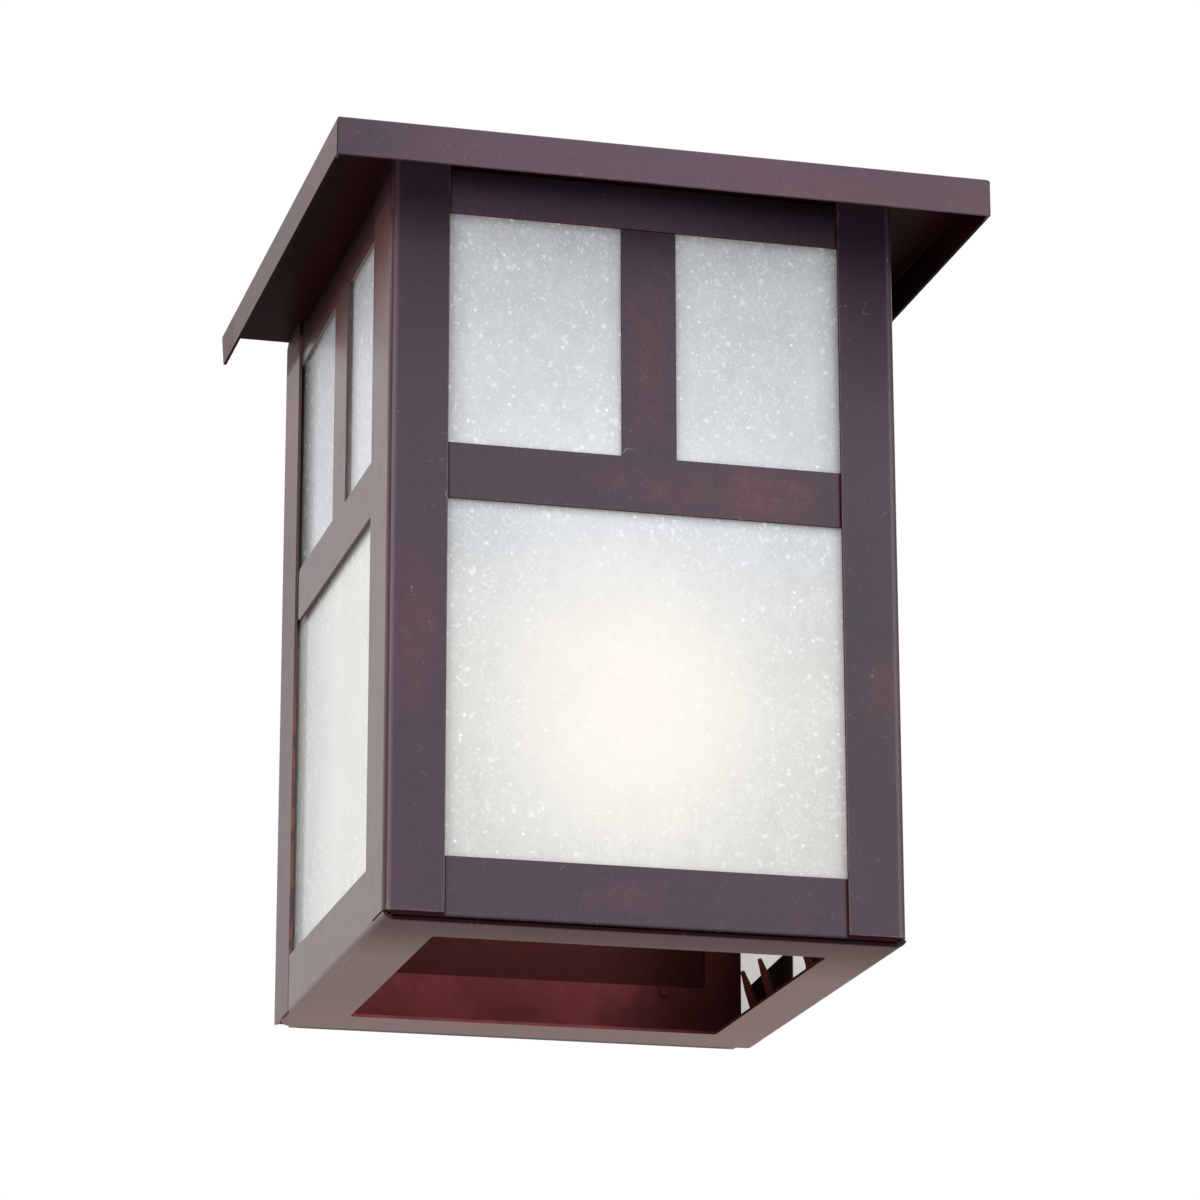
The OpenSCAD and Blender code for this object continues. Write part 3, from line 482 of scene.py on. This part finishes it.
        # Painted reflection on the bends: dark where they leave the side, a painted highlight
        # towards the front
        bend = BODY_HALF_W - BEND_R
        corner = self.wide.step(bend - 0.2, bend + 0.1) * self.y.step(3.1, 2.9)
        corner = corner * self.nz.size().step(0.2, 0.1) * self.behind * self.on_body
        turn = self.nx.size()
        colour = self.blend(corner * turn.step(0.74, 0.92) * 0.5, colour, SEAM_AND_DARK_REFLECTION_RED)
        light = turn.step(0.02, 0.3) * turn.step(0.72, 0.36)
        return self.blend(corner * light * 0.3, colour, RIM_WEAR_AND_HIGHLIGHT)

    def dust(self):
        """Specks of dust and fine scratches."""
        scratches = self.hairs(9.0, 0.005, 0.36)
        scratches = scratches.most(self.hairs(4.0, 0.010, 0.30, self.turned()))
        return self.dots(6.0, 0.26, 0.4).most(self.dots(2.0, 0.15, 0.3)).most(scratches * 0.7)

    def roughness(self, dust):
        """How rough the paint is; the flanks are smoother up to the stiles and the roof."""
        side = 0.25 + 0.09 * self.y.step(148.0, 151.5)
        side = side + 0.16 * self.z.step(FASCIA_FOOT - 1.6, FASCIA_FOOT - 0.2)
        grain = 0.10 * self.mottle + 0.06 * self.grain + 0.2 * dust
        return self.flank.between(0.34, side) + grain

    def dull(self):
        """Where the paint hardly shines: inside, in deep shade, on seams and cut edges."""
        rails = self.side_rails * self.y.step(150.0, 156.0).between(1.0, 0.6)
        shaded = self.inner.most(self.overhang * 0.8).most(rails)
        shaded = shaded.most(self.seams.most(self.raw))
        return shaded.most(self.tray_front * 0.7).most(self.front_rail)


def bronze_paint():
    """Dark mottled bronze paint: coats, painted light and shade, edges, painted highlights on
    the rims and bends, and dust.
    """
    f = BronzePaint()
    colour = f.blend(f.inner, f.outside(), f.inside())
    # Painted shade on the fascia's lower edges; their front takes the light rim colour
    colour = f.blend(f.front_edge * 0.7, colour, RIM_WEAR_AND_HIGHLIGHT)
    colour = f.blend(f.fascia_edge * (1 - f.front_edge), colour, ROOF_SHADE)
    colour = f.rims_and_bend_sheen(f.edged(f.lightened(colour, f.shade())))
    dust = f.dust()
    colour = f.blend(dust * f.inner.between(0.55, 0.24), colour, DUST)
    waves = f.clouds(46.0, 2.0, 0.4)
    peel = f.clouds(1.5, 2.0, 0.5)
    height = 0.28 * waves + 0.006 * peel + 0.02 * dust
    return f.done(f.dull(), Base_Color=colour, Roughness=f.roughness(dust),
                  Normal=f.relief(height), IOR=1.5)


def clip_paint():
    """Thin red brown paint on the clips' fingers; their upright leaves are painted near black
    as shade.
    """
    f = Finish("dark_clip_paint")
    nx, ny, nz = f.parts(f.facing())
    lean = nz.size().step(0.12, 0.28) * nx.size().most(ny.size()).step(0.3, 0.5)
    patchy = f.clouds(3.0, 4.0, 0.65)
    # Painted shade: near black on the upright leaves, red brown paint on the leaning fingers
    colour = f.blend(lean.most(patchy.step(0.56, 0.8) * 0.5), srgb(16, 7, 7), srgb(66, 24, 21))
    colour = f.lightened(colour, 0.75 + 0.5 * patchy)
    wear = f.dots(1.6, 0.3, 0.2) * f.z.step(9.0, 6.0)
    colour = f.blend(wear * 0.7, colour, srgb(190, 182, 176))
    return f.done(Base_Color=colour, Roughness=0.5 + 0.2 * patchy,
                  Normal=f.relief(0.02 * patchy), Specular_IOR_Level=0.12)


# Colours of the frosted glass and its painted glow: the bluish grey of its top, its white, the
# lamp's warm glow, and painted shade where sheet covers it
GLASS_GREY = srgb(176, 180, 185)
GLASS_CREAM = srgb(179, 179, 178)
GLASS_WARM = srgb(250, 248, 242)
GLASS_SHADE = srgb(92, 96, 90)
SEED_WHITE = srgb(240, 243, 243)
GLASS_LIGHT = srgb(249, 250, 251)
GLOW_WARM = tuple(0.54 * c for c in srgb(255, 241, 220))

# Windows of the panes as (from, to) along the pane, (from, to) upwards, and the fall of the
# light at the far end: where it starts, its length, and what is left behind the sheet there
EVEN_END = (-2.0, 2.6, 0.0)
LOWER = (RAIL_TOP, CROSS_BAR[0])
UPPER = (CROSS_BAR[1], TOP_RAIL)
FRONT_WINDOWS = (
    ((-POST_EDGE, POST_EDGE), LOWER, EVEN_END),
    ((-POST_EDGE, FRONT_BAR[0]), UPPER, EVEN_END),
    ((FRONT_BAR[1], POST_EDGE), UPPER, EVEN_END),
)
SIDE_WINDOWS = (
    (SIDE_PANE_Y, LOWER, (5.0, 12.0, 0.5)),
    ((SIDE_PANE_Y[0], SIDE_BAR[0]), UPPER, (-8.0, 10.0, 0.75)),
    ((SIDE_BAR[1], SIDE_PANE_Y[1]), UPPER, (6.0, 22.0, 0.08)),
)
# Middle of the lamp's glow on a pane, and how much each axis counts
FRONT_GLOW = (-4.0, 3.0, 72.0)
FRONT_GLOW_AXES = (1.0, 0.2, 0.85)
SIDE_GLOW = (78.0, 80.0, 80.0)
SIDE_GLOW_AXES = (0.2, 1.0, 1.0)
# Middle of the shade that the front centre bar throws on the glass
BAR_SHADE_X = 1.0


def window_light(f, along, span, height, far_end):
    """Painted light of one window opening: 1 inside it, falling off as painted shade to its
    top and, on a side, to its rear edge.
    """
    start, length, least = far_end
    rest = span[1] - along
    near = (along - span[0]).step(-2.0, 0.6)
    far = rest.step(start, start + length).most(rest.step(-9.0, -7.0) * least)
    foot = (f.z - height[0]).step(-3.0, 0.0)
    head = (height[1] - f.z).step(-3.5, 4.0)
    return near * far * foot * head


def seed_marks(f):
    """Seeds, blobs and streaks in the glass, from fine to coarse."""
    # They crowd towards the top of the panes and thin out in patches
    crowd = f.clouds(15.0, 2.0, 0.5).step(0.34, 0.7)
    crowd = crowd.most(f.z.step(186.0, 222.0) * 0.9) * 0.7 + 0.3
    fine = f.clouds(0.9, 3.0, 0.7).step(0.54, 0.78) * crowd
    soft = f.clouds(2.4, 1.0, 0.4, 0.4, f.turned()).step(0.60, 0.80) * 0.6
    sharp = f.dots(1.5, 0.28, 0.5) * crowd
    blobs = f.dots(6.0, 1.05, 0.6).most(f.dots(4.1, 0.75, 0.5, f.turned())) * 0.9
    leaning = f.stretched((1.0, 1.0, 0.3), f.turned())
    streaks = f.clouds(1.1, 1.0, 0.5, 0.2, leaning).step(0.60, 0.76) * 0.6 * crowd
    return fine.most(soft).most(sharp).most(blobs).most(streaks)


def side_glow(f, upper):
    """How much more light a side pane gives than its even level, from front to rear."""
    lower_part = (0.09 - 0.16 * f.y.step(80.0, 146.0)) * (1 - upper)
    return lower_part + 0.08 * f.y.step(82.0, 50.0) * upper


def front_glow(f, upper, near):
    """How much more light the front pane gives: the lamp's glow, and the bars' shade."""
    x, z = f.x, f.z
    glow = 0.19 * near.step(108.0, 20.0) + 0.10 * near.step(44.0, 0.0)
    glow = glow - 0.02 * near.step(30.0, 70.0) * z.step(80.0, 24.0)
    glow = glow - 0.03 * (1 - upper)
    glow = glow - 0.07 * x.step(-20.0, -62.0) * z.step(94.0, 132.0) * (1 - upper)
    glow = glow + 0.06 * upper + 0.06 * z.step(196.0, 224.0)
    glow = glow + (0.025 * z.step(160.0, 190.0) - 0.03 * x.step(0.0, 60.0)) * upper
    # The strips and posts shade the glass beside them
    bar = (x - BAR_SHADE_X).size().step(16.0, 8.0) * upper * 0.6
    beside = x.size().step(54.0, 64.0).most(bar)
    return glow - (0.035 + 0.08 * upper) * beside


def seeded_glass(name, side):
    """Frosted glass full of fine seeds, the lamp's light from behind painted on as glow, with
    painted shade behind the sheets; side is -1 left, 1 right, 0 front.
    """
    f = Finish(name)
    inner = f.inward()
    # Painted light: the glow goes on the inner face and in the window openings, the rest is
    # painted shade
    clear = inner
    for window in SIDE_WINDOWS if side else FRONT_WINDOWS:
        clear = clear.most(window_light(f, f.y if side else f.x, *window))
    if side:
        near = f.distance((side * SIDE_GLOW[0], *SIDE_GLOW[1:]), SIDE_GLOW_AXES)
    else:
        near = f.distance(FRONT_GLOW, FRONT_GLOW_AXES)
    calm = near.step(20.0, 62.0) * 0.75 + 0.25
    marks = seed_marks(f) * calm
    haze = f.clouds(26.0, 4.0, 0.6, 0.6)
    wisps = f.clouds(2.6, 4.0, 0.65, 0.5, f.stretched((1.0, 1.0, 0.35)))
    patches = f.clouds(5.0, 3.0, 0.6, 0.3, f.stretched((1.0, 1.0, 0.6), f.turned()))
    upper = f.z.step(CROSS_BAR[0] + 4.0, CROSS_BAR[1] - 4.0)
    level = 0.16 * f.z.step(236.0, 128.0) + 0.06 * haze + 0.10 * calm * (patches - 0.5)
    level = level + (side_glow(f, upper) if side else front_glow(f, upper, near))
    level = inner.between(level.most(0.0), 0.45) * clear
    cool = upper if side else f.z.step(84.0, CROSS_BAR[0])
    light = f.blend(cool, GLASS_WARM, GLASS_LIGHT)
    light = f.lightened(light, level + marks * 0.09 * clear)
    # Painted light: the lamp's warm glow on the front pane
    if not side:
        warm = near.step(58.0, 4.0) * (1 - inner)
        light = f.blend(warm * 0.8, light, GLOW_WARM)
    # Painted shade: the glass body dark where the sheets cover it
    body = f.blend(clear, GLASS_SHADE, f.blend(cool, GLASS_CREAM, GLASS_GREY))
    body = f.lightened(body, 0.84 + 0.14 * haze + 0.16 * wisps)
    body = f.blend(marks * 0.55, body, SEED_WHITE)
    height = 0.05 * wisps + 0.05 * marks
    return f.done(Base_Color=body, Roughness=0.28 + 0.14 * wisps, Normal=f.relief(height),
                  Emission_Color=light, Emission_Strength=1.0, IOR=1.5)


def zinc_plate():
    """Zinc plated steel: cloudy bloom and fine lines from the rolling."""
    f = Finish("zinc_plated_steel")
    bloom = f.clouds(3.2, 4.0, 0.65, 0.4)
    lines = f.clouds(0.5, 3.0, 0.6, 0.0, f.stretched((0.08, 1.0, 1.0)))
    colour = f.blend(bloom.step(0.35, 0.7), srgb(186, 190, 196), srgb(206, 204, 190))
    colour = f.lightened(colour, 0.86 + 0.22 * lines)
    return f.done(Base_Color=colour, Metallic=1.0, Roughness=0.28 + 0.2 * bloom,
                  Normal=f.relief(0.01 * lines))


def yellow_brass():
    """Plain turned brass, tarnished in patches."""
    f = Finish("plain_brass")
    tarnish = f.clouds(4.0, 4.0, 0.6, 0.6)
    lines = f.clouds(0.4, 2.0, 0.5, 0.0, f.stretched((1.0, 1.0, 5.0)))
    colour = f.blend(tarnish.step(0.42, 0.75), srgb(218, 186, 112), srgb(160, 122, 66))
    return f.done(Base_Color=colour, Metallic=1.0, Roughness=0.22 + 0.22 * tarnish,
                  Normal=f.relief(0.006 * lines))


def white_porcelain():
    """Glazed porcelain with a few dark pits."""
    f = Finish("glazed_porcelain")
    cloud = f.clouds(6.0, 3.0, 0.5)
    pits = f.dots(2.4, 0.16, 0.3)
    colour = f.blend(cloud, srgb(232, 229, 220), srgb(244, 242, 236))
    colour = f.blend(pits * 0.5, colour, srgb(150, 138, 120))
    return f.done(Base_Color=colour, Roughness=0.10 + 0.10 * cloud, Coat_Weight=0.4,
                  Normal=f.relief(0.03 * f.clouds(3.0) - 0.02 * pits))


def lead_cover(name, colour):
    """The soft plastic cover of a lead."""
    f = Finish(name)
    dull = f.clouds(1.2, 3.0, 0.6, 0.0, f.stretched((1.0, 0.3, 0.3)))
    tint = f.lightened(colour, 0.8 + 0.4 * dull)
    return f.done(Base_Color=tint, Roughness=0.36 + 0.2 * dull, Normal=f.relief(0.02 * dull))


def lamp_metal():
    """The nickelled metal of the lamp's cap."""
    f = Finish("nickelled_cap")
    spread = f.clouds(2.2, 4.0, 0.6)
    lines = f.clouds(0.3, 2.0, 0.5, 0.0, f.stretched((1.0, 1.0, 8.0)))
    colour = f.blend(spread.step(0.4, 0.7), srgb(206, 206, 204), srgb(176, 174, 168))
    return f.done(Base_Color=colour, Metallic=1.0, Roughness=0.2 + 0.2 * spread,
                  Normal=f.relief(0.004 * lines))


def black_glass():
    """The glass drop between the lamp's cap and its end contact."""
    f = Finish("black_glass_insulator")
    cloud = f.clouds(2.0, 3.0, 0.6)
    colour = f.blend(cloud, srgb(18, 17, 24), srgb(38, 34, 48))
    return f.done(Base_Color=colour, Roughness=0.08 + 0.12 * cloud,
                  Normal=f.relief(0.02 * cloud))


def lit_lamp_glass():
    """The lamp's bulb, coated soft white inside, dimmer at its neck."""
    f = Finish("lit_lamp_glass")
    coat = f.clouds(5.0, 3.0, 0.5)
    neck = f.z.step(118.0, 150.0)
    colour = f.blend(coat, srgb(186, 182, 172), srgb(204, 200, 190))
    light = f.blend(neck, srgb(255, 240, 214), srgb(190, 160, 118))
    light = f.lightened(light, 0.84 + 0.16 * coat)
    return f.done(Base_Color=colour, Roughness=0.3 + 0.1 * coat, Emission_Color=light,
                  Emission_Strength=0.72)


def green_screw():
    """Green ground screw, its colour worn to the metal in patches."""
    f = Finish("green_ground_screw")
    wear = f.clouds(1.4, 4.0, 0.6)
    colour = f.blend(wear.step(0.5, 0.75), srgb(34, 120, 62), srgb(112, 150, 110))
    return f.done(Base_Color=colour, Metallic=0.6, Roughness=0.32 + 0.2 * wear,
                  Normal=f.relief(0.01 * wear))


PAINTED = (
    "roof", "left_side_frame", "right_side_frame", "bottom_tray", "front_bottom_rail",
    "front_transom", "front_mullion", "front_top_rail", "left_top_rail", "right_top_rail",
    "back_pan", "back_plate", "plate_screws", "cap_nuts",
)
FINISHES = (
    (bronze_paint(), PAINTED),
    (seeded_glass("seeded_glass_front", 0), ("front_glass",)),
    (seeded_glass("seeded_glass_left", -1), ("left_glass",)),
    (seeded_glass("seeded_glass_right", 1), ("right_glass",)),
    (clip_paint(), ("front_glass_clips", "left_glass_clip", "right_glass_clip")),
    (zinc_plate(), ("lamp_bracket", "bracket_rivets", "mounting_bar", "mounting_screws")),
    (yellow_brass(), ("holder_nipple", "nipple_nut", "screw_shell", "centre_contact")),
    (white_porcelain(), ("lampholder",)),
    (lead_cover("black_lead_cover", srgb(30, 30, 32)), ("live_lead",)),
    (lead_cover("white_lead_cover", srgb(222, 220, 212)), ("neutral_lead",)),
    (lamp_metal(), ("lamp_cap", "lamp_eyelet")),
    (black_glass(), ("lamp_insulator",)),
    (lit_lamp_glass(), ("lamp_bulb",)),
    (green_screw(), ("ground_screw",)),
)


def dress(nodes):
    """Puts each finish into the slots of its pieces."""
    for material, names in FINISHES:
        for name in names:
            piece = nodes[name]
            if not piece.material_slots:
                piece.data.materials.append(material)
            for slot in piece.material_slots:
                slot.material = material


dress(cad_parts)


# The stage: a pale floor well below, as under a light on a wall, and white all round
FLOOR_Z = -1.65
FLOOR_HALF = 30.0
DIFFUSE_LEVEL = 0.55


def make_floor():
    """One pale square below the light; it isn't part of the object."""
    mesh = bpy.data.meshes.new("floor")
    signs = ((-1, -1), (1, -1), (1, 1), (-1, 1))
    corners = [(x * FLOOR_HALF, y * FLOOR_HALF, FLOOR_Z) for x, y in signs]
    mesh.from_pydata(corners, [], [(0, 1, 2, 3)])
    floor = bpy.data.objects.new("floor", mesh)
    bpy.context.scene.collection.objects.link(floor)
    f = Finish("pale_floor")
    grain = f.clouds(60.0, 3.0, 0.5)
    colour = f.blend(grain, srgb(232, 232, 232), srgb(238, 238, 238))
    mesh.materials.append(f.done(Base_Color=colour, Roughness=0.7))


def make_sky():
    """White to the camera and in reflections, softer on the surfaces themselves."""
    world = bpy.data.worlds.new("studio")
    world.use_nodes = True
    sky = Bench(world.node_tree)
    rays = ("Is Camera Ray", "Is Glossy Ray", "Is Transmission Ray")
    camera, glossy, through = sky.node("ShaderNodeLightPath", output=rays)
    seen = camera.most(glossy).most(through)
    sockets = {"Color": (1.0, 1.0, 1.0, 1.0), "Strength": seen.between(DIFFUSE_LEVEL, 1.0)}
    white = sky.node("ShaderNodeBackground", sockets=sockets)
    sky.node("ShaderNodeOutputWorld", sockets={"Surface": white})
    bpy.context.scene.world = world


# Soft lamps as (name, place, side in metres, watts), all turned to the light's middle
STUDIO_LAMPS = (
    ("left_softbox", (-1.9, -1.5, 0.9), 1.4, 22.0),
    ("right_softbox", (1.7, -2.0, 0.7), 1.4, 16.0),
    ("low_softbox", (-0.9, -1.3, -1.2), 1.0, 7.0),
)
STUDIO_AIM = (0.0, -0.09, 0.0)


def make_lamps():
    """The soft lamps, each an area lamp turned to the light."""
    for name, place, side, watts in STUDIO_LAMPS:
        lamp = bpy.data.lights.new(name, "AREA")
        lamp.size = side
        lamp.energy = watts
        holder = bpy.data.objects.new(name, lamp)
        holder.location = place
        towards = Vector(STUDIO_AIM) - Vector(place)
        holder.rotation_euler = towards.to_track_quat("-Z", "Y").to_euler()
        bpy.context.scene.collection.objects.link(holder)


CAMERA_PLACE = (-0.35319, -1.47615, -0.42051)
CAMERA_TURN = (106.7466, 0.0973, -14.5558)
CAMERA_LENS = 137.133
CAMERA_SENSOR = 36.0
CAMERA_RANGE = (0.05, 100.0)


def make_camera():
    """The camera at the photograph's place, turn and lens."""
    data = bpy.data.cameras.new("camera")
    data.lens = CAMERA_LENS
    data.sensor_width = CAMERA_SENSOR
    data.clip_start, data.clip_end = CAMERA_RANGE
    camera = bpy.data.objects.new("camera", data)
    camera.location = CAMERA_PLACE
    camera.rotation_euler = Euler([radians(a) for a in CAMERA_TURN], "XYZ")
    bpy.context.scene.collection.objects.link(camera)
    bpy.context.scene.camera = camera


make_floor()
make_sky()
make_lamps()
make_camera()
bpy.context.scene.view_settings.view_transform = "Standard"
